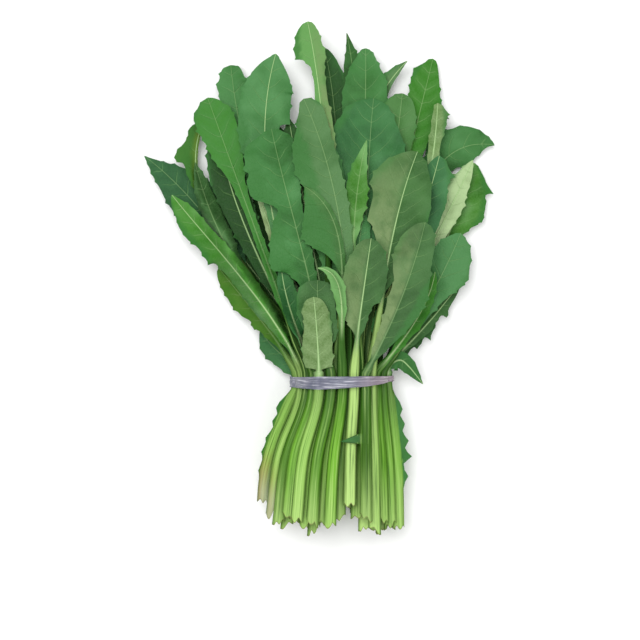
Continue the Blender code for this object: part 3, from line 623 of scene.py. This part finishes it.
    def raise_relief(self):
        """Puffed fields between the side veins, and a rippled margin."""
        along = self.places[:, None]
        beside = np.abs(self.across)
        left_turn, right_turn, drift_turn = (self.rng.uniform(0.0, 2 * math.pi)
                                             for _ in range(3))
        bent = CM * (beside / CM)**VEIN_BEND
        fields = np.sin(2 * math.pi * (along - VEIN_SLANT * bent) / VEIN_SPACING)
        quilt = QUILT * fields * smooth_step(beside / QUILT_FOOT)
        quilt *= 1.0 - self.edge**QUILT_EDGE_POWER
        quilt *= smooth_step(self.width / QUILT_WIDTH)
        turn = np.where(self.across < 0.0, left_turn, right_turn)
        drift = RIPPLE_DRIFT * np.sin(along / RIPPLE_DRIFT_LENGTH + drift_turn)
        wave = np.sin(2 * math.pi * along / RIPPLE_LENGTH + turn + drift)
        ripple = RIPPLE * wave * self.edge**2 * np.clip(self.width / RIPPLE_WIDTH, 0.0, 1.0)
        calm = np.clip((1.0 - self.into_blade[:, None]) * TIP_CALM, 0.0, 1.0)
        self.middle = self.middle + (quilt + ripple) * ((1.0 - self.stalk) * calm)

    def tear_end(self):
        """Draw the cut end back unevenly, so that it ends in torn points."""
        depth = self.rng.uniform(*TEAR_DEPTH)
        teeth = self.rng.uniform(*TEAR_TEETH)
        turn = self.rng.random()
        across = self.across / self.width
        points = np.abs((across * teeth + turn) % 1.0 - 0.5) * 2.0
        points = points**self.rng.uniform(*TEAR_SHARPNESS)
        slant = self.rng.uniform(-TEAR_SLANT, TEAR_SLANT) * across
        pull = depth * np.clip(TEAR_POINTS * points + slant + TEAR_LEAST, 0.0, TEAR_MOST)
        fade = np.clip(1.0 - self.places / END_ZONE, 0.0, 1.0)[:, None]
        self.plan = self.plan + self.ahead[:, None] * (pull * fade)[..., None]
        thinner = 1.0 - TEAR_THINNING * fade**2 * self.rng.random()
        self.up = self.up * thinner
        self.down = self.down * thinner


class Heap:
    """Height of what has been laid so far, on a grid in plan."""

    def __init__(self, low, high):
        self.low = np.array(low[:2]) / MM - CELL
        size = (np.array(high[:2]) / MM + CELL - self.low) / CELL
        self.height = np.zeros(tuple(np.ceil(size).astype(int) + 1))

    def cells(self, plan):
        found = ((plan - self.low) / CELL).astype(int)
        found = np.clip(found, 0, np.array(self.height.shape) - 1)
        return found[..., 0], found[..., 1]

    def lay(self, leaf):
        """Lift the blade clear of the heap, then add it to the heap."""
        plan = finer(leaf.plan)
        under = finer(leaf.middle - leaf.down)
        need = np.clip(self.height[self.cells(plan)] + CLEARANCE - under, 0.0, None)
        need *= finer(1.0 - leaf.stalk)
        least = widest(need)[::FINER, ::FINER]
        lift = least
        for _ in range(SPREAD_ROUNDS):
            lift = np.maximum(least, blurred(lift))
        leaf.middle = leaf.middle + lift * (1.0 - leaf.stalk)
        np.maximum.at(self.height, self.cells(plan), finer(leaf.middle + leaf.up))


def finer(values):
    """Values between rows and between columns too."""
    for axis in (0, 1):
        count = values.shape[axis]
        place = np.linspace(0.0, count - 1, (count - 1) * FINER + 1)
        below = np.minimum(place.astype(int), count - 2)
        shape = [1] * values.ndim
        shape[axis] = -1
        share = (place - below).reshape(shape)
        first, second = np.take(values, below, axis), np.take(values, below + 1, axis)
        values = first + (second - first) * share
    return values


def widest(values):
    """Greatest value within the reach of each point."""
    for axis in (0, 1):
        padded = np.pad(values, [(FINER - 1, FINER - 1) if a == axis else (0, 0) for a in (0, 1)])
        size = values.shape[axis]
        shifted = [np.take(padded, range(k, k + size), axis) for k in range(2 * FINER - 1)]
        values = np.maximum.reduce(shifted)
    return values


def blurred(values):
    """Mean of each point and its four neighbours."""
    padded = np.pad(values, 1, mode="edge")
    five = (values, padded[:-2, 1:-1], padded[2:, 1:-1], padded[1:-1, :-2], padded[1:-1, 2:])
    return sum(five) / len(five)


def strip_faces(rows, columns):
    """Faces of a closed strip: upper face, lower face, both edges and both ends."""
    count = rows * columns
    here = np.arange(count).reshape(rows, columns)
    a, b, d, e = here[:-1, :-1], here[:-1, 1:], here[1:, :-1], here[1:, 1:]
    upper = np.stack((a, b, e, d), axis=-1).reshape(-1, 4)
    left, right, start, end = here[:, 0], here[:, -1], here[0], here[-1]
    rims = []
    for line in (left, right[::-1], start[::-1], end):
        rims.append(np.stack((line[:-1], line[1:], line[1:] + count, line[:-1] + count), axis=-1))
    return np.concatenate([upper, upper[:, ::-1] + count] + rims).tolist()


def add_mesh(name, points, faces, material):
    """A smooth object from points in millimetres."""
    mesh = bpy.data.meshes.new(name)
    mesh.from_pydata((points * MM).tolist(), [], faces)
    mesh.materials.append(material)
    mesh.shade_smooth()
    mesh.set_sharp_from_angle(angle=math.radians(SHARP_ANGLE))
    piece = bpy.data.objects.new(name, mesh)
    bpy.context.scene.collection.objects.link(piece)
    return piece


def add_attribute(mesh, name, values):
    """A number, or a vector of three, kept on every point for the materials to read."""
    kind, field = ("FLOAT", "value") if values.ndim == 1 else ("FLOAT_VECTOR", "vector")
    layer = mesh.attributes.new(name, kind, "POINT")
    layer.data.foreach_set(field, values.astype(np.float32).ravel())


def add_vectors(mesh, name, *faces):
    """A vector on every point, from three tables of numbers for each of a strip's two faces."""
    tables = [np.dstack(np.broadcast_arrays(*face)).reshape(-1, 3) for face in faces]
    add_attribute(mesh, name, np.concatenate(tables))


def add_leaf(leaf, number, material):
    """The fine leaf's mesh, with what its material reads, in place of its CAD node."""
    upper = np.dstack((leaf.plan, leaf.middle + leaf.up)).reshape(-1, 3)
    lower = np.dstack((leaf.plan, leaf.middle - leaf.down)).reshape(-1, 3)
    piece = add_mesh(f"{leaf.name}_fine", np.concatenate((upper, lower)),
                     strip_faces(*leaf.middle.shape), material)
    along = np.broadcast_to(leaf.places[:, None], leaf.across.shape)
    place = (leaf.across / CM, along / CM, number * NEXT_LEAF / CM)
    add_vectors(piece.data, "place", place, place)
    below = np.clip(leaf.cad.run[leaf.cad.first_blade - 1] - along, 0.0, None) / CM
    rib = np.abs(leaf.across) / leaf.rib
    add_vectors(piece.data, "form", (rib, below, 0.0), (rib, below, 1.0))
    traits = {"edge": leaf.edge, "cut": along / CM, "fringe": leaf.fringe,
              "pale": pale_share(leaf), **whole_leaf_traits(leaf, number)}
    for name, values in traits.items():
        values = np.broadcast_to(values, leaf.across.shape)
        add_attribute(piece.data, name, np.tile(values.ravel(), 2))
    dress(piece, leaf.name)


def whole_leaf_traits(leaf, number):
    """What is the same all over one leaf: its tones, its midrib and its stalk's foot."""
    level = LEVELS.get(leaf.name, leaf.rng.uniform(*CHANCE_LEVEL))
    warmth = WARMTH.get(leaf.name, CHANCE_WARMTH * leaf.rng.random())
    return {"own": number * STALK_TURN % 1.0, "level": level, "warm": warmth,
            "crown": float(leaf.name in CROWN_LEAVES),
            "dull": float(leaf.name in DULL_RIBS)}


def pale_share(leaf):
    """How pale each point is: one side of the blade on a few leaves, paler towards its foot."""
    side = PALE_SIDES.get(leaf.name)
    if side is None:
        return np.zeros_like(leaf.across)
    to_side = smooth_step(side * leaf.across / PALE_FROM_RIB)
    below = np.clip((leaf.places[-1] - leaf.places) / PALE_LENGTH, 0.0, 1.0)[:, None]
    return to_side * (PALE_AT_TIP + (1.0 - PALE_AT_TIP) * below) * (1.0 - leaf.stalk)


def dress(piece, node):
    """Let a piece ride on the one body, in place of its CAD node."""
    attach(piece, "root")
    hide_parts(node)


class Shader:
    """A material's nodes, with short calls that add one and join its inputs."""

    def __init__(self, name):
        self.material = bpy.data.materials.new(name)
        self.material.use_nodes = True
        self.tree = self.material.node_tree
        self.surface = self.tree.nodes["Principled BSDF"]

    def put(self, socket, value):
        """Join a socket to an output, or set it to a constant."""
        if isinstance(value, bpy.types.NodeSocket):
            self.tree.links.new(value, socket)
        elif socket.type == "RGBA" and len(value) == 3:
            socket.default_value = (*value, 1.0)
        else:
            socket.default_value = value

    def give(self, name, value):
        """Give the surface one of its values."""
        self.put(self.surface.inputs[name], value)

    def add(self, kind, inputs=None, **settings):
        node = self.tree.nodes.new(kind)
        for name, value in settings.items():
            setattr(node, name, value)
        for name, value in (inputs or {}).items():
            self.put(node.inputs[name], value)
        return node

    def maths(self, operation, *values):
        inputs = dict(enumerate(values))
        return self.add("ShaderNodeMath", inputs, operation=operation).outputs[0]

    def mix(self, share, first, second):
        """One colour going over into another, which this node takes at its sockets 6 and 7."""
        inputs = {0: share, 6: first, 7: second}
        return self.add("ShaderNodeMix", inputs, data_type="RGBA").outputs[2]

    def mix_numbers(self, share, first, second):
        """One number going over into another, which this node takes at its sockets 2 and 3."""
        inputs = {0: share, 2: first, 3: second}
        return self.add("ShaderNodeMix", inputs, data_type="FLOAT").outputs[0]

    def fade(self, value, *ends):
        """From the third of the ends to the fourth, while the value goes from first to second."""
        inputs = dict(enumerate((value, *ends)))
        node = self.add("ShaderNodeMapRange", inputs, interpolation_type="SMOOTHSTEP", clamp=True)
        return node.outputs[0]

    def noise(self, vector, scale, detail=2.0, rough=0.5):
        inputs = {"Vector": vector, "Scale": scale, "Detail": detail, "Roughness": rough}
        return self.add("ShaderNodeTexNoise", inputs).outputs[0]

    def number(self, name):
        """A number kept on the points."""
        return self.add("ShaderNodeAttribute", attribute_name=name).outputs["Fac"]

    def vector(self, name):
        """A vector kept on the points."""
        return self.add("ShaderNodeAttribute", attribute_name=name).outputs["Vector"]

    def split(self, vector):
        return self.add("ShaderNodeSeparateXYZ", {0: vector}).outputs[:3]

    def stretched(self, vector, scale):
        return self.add("ShaderNodeMapping", {"Vector": vector, "Scale": scale}).outputs[0]

    def bump(self, height, strength, distance):
        inputs = {"Height": height, "Strength": strength, "Distance": distance}
        return self.add("ShaderNodeBump", inputs).outputs[0]


def vein_distance(shader, place):
    """Distance from the nearest side vein, in spacings of the veins."""
    across, along, _ = shader.split(place)
    wander = shader.maths("MULTIPLY", shader.noise(place, *WANDER_NOISE), VEIN_WANDER)
    beside = shader.maths("POWER", shader.maths("ABSOLUTE", across), VEIN_BEND)
    level = shader.maths("ADD", along, shader.maths("MULTIPLY", beside, -VEIN_SLANT))
    level = shader.maths("ADD", level, wander)
    turns = shader.maths("DIVIDE", level, VEIN_SPACING / CM)
    return shader.maths("PINGPONG", turns, 0.5)


def net_lines(shader, place):
    """Fine net between the veins."""
    cells = shader.add("ShaderNodeTexVoronoi", {"Vector": place, "Scale": NET_SCALE},
                       feature="DISTANCE_TO_EDGE").outputs[0]
    return shader.fade(cells, *NET_LINES)


def blade_colour(shader, slot, place, fine, edge):
    """Mottled and veined green of one kind of leaf; and the height of its fine relief."""
    deep, middle, light = TONES[slot]
    own = shader.maths("ADD", shader.number("level"), -LEVEL_MIDDLE)
    own = shader.maths("MULTIPLY", own, LEVEL_SHARE)
    level = shader.maths("ADD", shader.noise(place, *BROAD_NOISE), own)
    colour = shader.mix(shader.fade(level, *DEEP_TO_MIDDLE), deep, middle)
    colour = shader.mix(shader.fade(level, *MIDDLE_TO_LIGHT), colour, light)
    colour = shader.mix(shader.fade(fine, *SPECKS), colour, light)
    colour = shader.mix(shader.number("warm"), colour, WARM_COLOUR)
    net = net_lines(shader, place)
    colour = shader.mix(net, colour, light)
    spacing = vein_distance(shader, place)
    vein = shader.fade(spacing, *VEIN_LINES)
    vein = shader.maths("MULTIPLY", vein, shader.fade(edge, *VEIN_REACH))
    vein_colour = [(a + b) / 2 for a, b in zip(light, RIB_COLOUR)]
    colour = shader.mix(shader.fade(spacing, *BESIDE_VEIN), colour, light)
    colour = shader.mix(vein, colour, vein_colour)
    height = shader.maths("ADD", shader.maths("MULTIPLY", net, NET_HEIGHT),
                          shader.maths("MULTIPLY", vein, VEIN_HEIGHT))
    height = shader.maths("ADD", height, shader.maths("MULTIPLY", fine, FINE_HEIGHT))
    return colour, height


def special_parts(shader, place, under, fringe, blade):
    """The blade's colour with its underside, its fringe on the stalk and a pale side."""
    blade = shader.mix(shader.maths("MULTIPLY", under, UNDER_SHARE), blade, UNDER_COLOUR)
    blade = shader.mix(shader.maths("MULTIPLY", fringe, FRINGE_SHARE), blade, FRINGE_COLOUR)
    patches = shader.fade(shader.noise(place, *PATCH_NOISE), *PALE_PATCHES)
    pale = shader.maths("MULTIPLY", shader.number("pale"), patches)
    return shader.mix(pale, blade, PALE_SIDE_COLOUR)


def with_midrib(shader, rib, blade):
    """The blade's colour with its midrib: a green line with a pale crest."""
    clear = shader.fade(shader.number("dull"), *RIB_CLEARNESS)
    sides = shader.maths("MULTIPLY", shader.fade(rib, *RIB_SIDES), clear)
    crest = shader.maths("MULTIPLY", shader.fade(rib, *RIB_CREST), clear)
    return shader.mix(crest, shader.mix(sides, blade, RIB_COLOUR), CREST_COLOUR)


def stalk_colour(shader, place, edge):
    """Pale green, streaked lengthwise, whiter towards the cut end, with painted shade darkening its
    sides where the stalks meet; and the height of its ridges.
    """
    cut = shader.number("cut")
    streaks = shader.noise(shader.stretched(place, STREAK_STRETCH), *STREAK_NOISE)
    wide = shader.noise(shader.stretched(place, WIDE_STRETCH), *WIDE_NOISE)
    own = shader.number("own")
    wandering = shader.maths("ADD", cut, shader.maths("MULTIPLY", wide, LOW_STALK_WANDER))
    colour = shader.mix(shader.fade(cut, *HIGH_STALK), STALK_LOW, STALK_HIGH)
    colour = shader.mix(shader.fade(own, *DEEP_STALKS), colour, STALK_DEEP)
    colour = shader.mix(shader.fade(own, *LIGHT_STALKS), colour, STALK_END)
    colour = shader.mix(shader.fade(wandering, *LOW_STALK), colour, STALK_END)
    colour = shader.mix(shader.fade(streaks, *LIGHT_STREAKS), colour, STALK_END)
    colour = shader.mix(shader.fade(streaks, *DEEP_STREAKS), colour, STALK_DEEP)
    colour = with_crown(shader, cut, wide, colour)
    colour = shader.mix(shader.fade(cut, *CUT_RIM), colour, CUT_COLOUR)
    # Painted shade: darker towards each stalk's edges, for the gaps between stalks
    return shader.mix(shader.fade(edge, *STALK_EDGE_SHADE), colour, STALK_DEEP), streaks


def with_crown(shader, cut, wide, stalk):
    """The stalk's colour, whitish and rusty at the foot where it joined the crown."""
    crown = shader.number("crown")
    white = shader.maths("MULTIPLY", crown, shader.fade(cut, *CROWN_WHITE))
    rusty = shader.maths("MULTIPLY", crown, shader.fade(cut, *CROWN_RUST))
    rusty = shader.maths("MULTIPLY", rusty, shader.fade(wide, *RUST_PATCHES))
    return shader.mix(rusty, shader.mix(white, stalk, CROWN_COLOUR), RUST_COLOUR)


def leaf_material(slot):
    """Blade, midrib, side veins and stalk of one kind of leaf."""
    shader = Shader(f"{slot}_fine")
    place = shader.vector("place")
    rib, below, under = shader.split(shader.vector("form"))
    edge = shader.number("edge")
    fringe = shader.number("fringe")
    fine = shader.noise(place, *FINE_NOISE)
    blade, height = blade_colour(shader, slot, place, fine, edge)
    blade = special_parts(shader, place, under, fringe, blade)
    blade = with_midrib(shader, rib, blade)
    stalk, ridges = stalk_colour(shader, place, edge)
    on_stalk = shader.maths("MULTIPLY", shader.fade(below, *STALK_BELOW_BLADE),
                            shader.fade(fringe, *STALK_INSIDE_FRINGE))
    matt = shader.maths("MULTIPLY", on_stalk, shader.fade(edge, *MATT_EDGES))
    shine = SHINE.get(slot, USUAL_SHINE)
    relief = shader.mix_numbers(on_stalk, height, ridges)
    shader.give("Base Color", shader.mix(on_stalk, blade, stalk))
    shader.give("Roughness", shader.fade(fine, *LEAF_ROUGHNESS))
    shader.give("Specular IOR Level", shader.fade(matt, 0.0, 1.0, shine, 0.0))
    shader.give("Normal", shader.bump(relief, *LEAF_BUMP))
    return shader.material


def add_leaves():
    """All leaves, laid over each other in the order of their names."""
    slots = {part["node"]: part["material_slot"] for part in frame["record"]["subparts"]}
    names = sorted(name for name in frame["nodes"] if slots[name] in TONES)
    materials = {slot: leaf_material(slot) for slot in sorted({slots[name] for name in names})}
    heap = Heap(*cad_box)
    for number, name in enumerate(names):
        rng = random.Random(SEED * SEEDS_APART + number)
        leaf = FineLeaf(name, CadLeaf(frame["nodes"][name]), rng)
        heap.lay(leaf)
        add_leaf(leaf, number, materials[slots[name]])


def tie_material():
    """Thin plastic, a little clear, with whitish painted highlights streaked along the strip."""
    shader = Shader("tie_fine")
    place = shader.vector("place")
    along = shader.noise(shader.stretched(place, TIE_STRETCH), *TIE_FINE_NOISE)
    broad = shader.noise(place, *TIE_BROAD_NOISE)
    right, _, _ = shader.split(shader.add("ShaderNodeTexCoord").outputs["Object"])
    colour = shader.mix(shader.fade(broad, *TIE_TONES), TIE_DEEP, TIE_LIGHT)
    # Painted highlights: whitish streaks along the strip's wrinkles
    colour = shader.mix(shader.fade(along, *TIE_HIGHLIGHT_STREAKS), colour, TIE_PAINTED_HIGHLIGHT)
    colour = shader.mix(shader.fade(right, *TIE_PINK_SIDE), colour, TIE_PINK)
    shader.give("Base Color", colour)
    shader.give("Alpha", shader.fade(along, *TIE_ALPHA))
    shader.give("Roughness", TIE_ROUGHNESS)
    shader.give("Normal", shader.bump(along, *TIE_BUMP))
    return shader.material


def tie_outline(node):
    """The CAD strip's middle in x and z; and by angle its reach, lowest y and highest y."""
    corners = np.array([vertex.co for vertex in node.data.vertices]) / MM
    section = corners[:, [0, 2]]
    middle = (section.max(axis=0) + section.min(axis=0)) / 2
    right, up = (section - middle).T
    angle, reach = np.arctan2(up, right), np.hypot(up, right)
    order = np.argsort(angle)
    groups = np.split(order, np.nonzero(np.diff(angle[order]) > SAME_ANGLE)[0] + 1)
    rows = [(angle[group].mean(), reach[group].max(), corners[group, 1].min(),
             corners[group, 1].max()) for group in groups]
    return middle, np.array(rows).T


def add_tie():
    """A thin wrinkled plastic strip in place of the CAD strip."""
    middle, (at, *outline) = tie_outline(frame["nodes"]["tie_strip"])
    angles = np.linspace(-math.pi, math.pi, TIE_ROWS, endpoint=False)[:, None]
    reach, low, high = (np.interp(angles, at, values, period=2 * math.pi) for values in outline)
    right, up = np.cos(angles), np.sin(angles)
    steps = [np.diff(reach * way, axis=0, prepend=0.0) for way in (right, up)]
    run = np.cumsum(np.hypot(*steps), axis=0)
    share = np.linspace(0.0, 1.0, TIE_COLUMNS)
    y = low + (high - low) * share
    wrinkle = sum(height * np.sin(share * turns + run / length + start)
                  for height, turns, length, start in TIE_WRINKLES)
    outer = reach - TIE_LIFT + wrinkle
    over_floor = np.clip(middle[1] + outer * up, TIE_ABOVE_FLOOR, None)
    points = []
    for depth in (0.0, -TIE_THICKNESS):
        x = middle[0] + (outer + depth) * right
        points.append(np.dstack((x, y, over_floor + depth * up)).reshape(-1, 3))
    piece = add_mesh("tie_strip_fine", np.concatenate(points),
                     ring_faces(TIE_ROWS, TIE_COLUMNS), tie_material())
    place = (run / CM, y / CM, 0.0)
    add_vectors(piece.data, "place", place, place)
    dress(piece, "tie_strip")


def ring_faces(rows, columns):
    """Faces of a closed loop of strip: outer face, inner face and both edges."""
    count = rows * columns
    here = np.arange(count).reshape(rows, columns)
    there = np.roll(here, -1, axis=0)
    outer = np.stack((here[:, :-1], there[:, :-1], there[:, 1:], here[:, 1:]), axis=-1)
    outer = outer.reshape(-1, 4)[:, ::-1]
    rims = []
    for a, b in ((there[:, 0], here[:, 0]), (here[:, -1], there[:, -1])):
        rims.append(np.stack((a, b, b + count, a + count), axis=-1)[:, ::-1])
    return np.concatenate([outer, outer[:, ::-1] + count] + rims).tolist()


def add_floor():
    """A pale floor just under the bunch."""
    half = FLOOR_SIDE / 2
    level = cad_box[0].z - FLOOR_GAP
    corners = [(-half, -half, level), (half, -half, level), (half, half, level),
               (-half, half, level)]
    mesh = bpy.data.meshes.new("floor")
    mesh.from_pydata(corners, [], [(0, 1, 2, 3)])
    shader = Shader("floor")
    shader.give("Base Color", FLOOR_COLOUR)
    shader.give("Roughness", FLOOR_ROUGHNESS)
    mesh.materials.append(shader.material)
    floor = bpy.data.objects.new("floor", mesh)
    bpy.context.scene.collection.objects.link(floor)


def add_lamp(name, place, size, power):
    """A square soft light that faces the middle of the bunch."""
    lamp = bpy.data.lights.new(name, "AREA")
    lamp.size = size
    lamp.energy = power
    holder = bpy.data.objects.new(name, lamp)
    holder.location = place
    middle = (cad_box[0] + cad_box[1]) / 2
    holder.rotation_euler = (holder.location - middle).to_track_quat("Z", "Y").to_euler()
    bpy.context.scene.collection.objects.link(holder)


def add_light():
    """An even white surround and two soft lamps."""
    world = bpy.data.worlds.new("studio")
    world.use_nodes = True
    background = world.node_tree.nodes["Background"]
    background.inputs["Color"].default_value = WORLD_COLOUR
    background.inputs["Strength"].default_value = WORLD_STRENGTH
    bpy.context.scene.world = world
    for name, (place, size, power) in LAMPS.items():
        add_lamp(name, place, size, power)
    bpy.context.scene.view_settings.view_transform = "Standard"


def add_camera():
    """A camera that looks straight down on the bunch."""
    camera = bpy.data.cameras.new("camera")
    camera.lens = CAMERA_LENS
    camera.sensor_width = CAMERA_SENSOR
    holder = bpy.data.objects.new("camera", camera)
    holder.location = CAMERA_PLACE
    bpy.context.scene.collection.objects.link(holder)
    bpy.context.scene.camera = holder


def clear_defaults():
    """Remove what a new Blender file starts with."""
    for name in ("Cube", "Light", "Camera"):
        if name in bpy.data.objects:
            bpy.data.objects.remove(bpy.data.objects[name])


clear_defaults()
add_floor()
add_light()
add_camera()
add_leaves()
add_tie()
